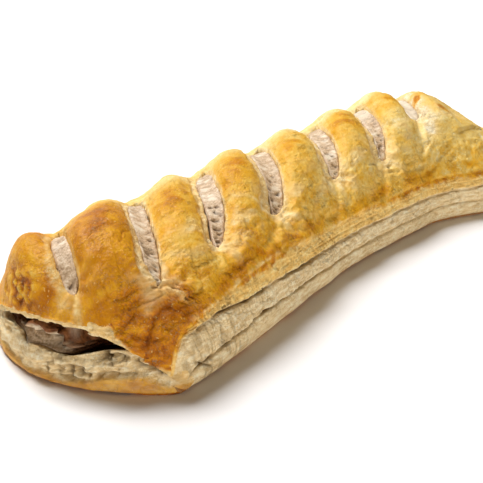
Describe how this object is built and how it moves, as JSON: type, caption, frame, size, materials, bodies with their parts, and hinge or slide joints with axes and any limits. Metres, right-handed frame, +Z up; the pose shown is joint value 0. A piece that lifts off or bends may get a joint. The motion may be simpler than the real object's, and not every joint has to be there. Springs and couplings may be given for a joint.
{
  "type": "sausage roll",
  "caption": "Long bakery sausage roll: golden puff pastry with slanted slashes over its top, round a log of sausage meat that shows in the slashes and at both open ends.",
  "frame": {"origin": "middle of the roll's base, on the surface that it lies on", "axes": "+X along the roll towards its sloping far end, -Y towards the sealed edge where the pastry's layers show, +Z up"},
  "size_m": [0.2, 0.0632, 0.0296],
  "materials": {
    "baked_pastry": "egg-washed puff pastry, golden yellow with browner patches, pale cream where its layers are cut, soft sheen on top and dry and flaky at the edges",
    "sausage_meat": "cooked minced sausage meat, pale grey-pink to grey-brown, moist and pitted"
  },
  "bodies": {
    "root": {"pastry": "baked_pastry", "filling": "sausage_meat"}
  },
  "joints": []
}
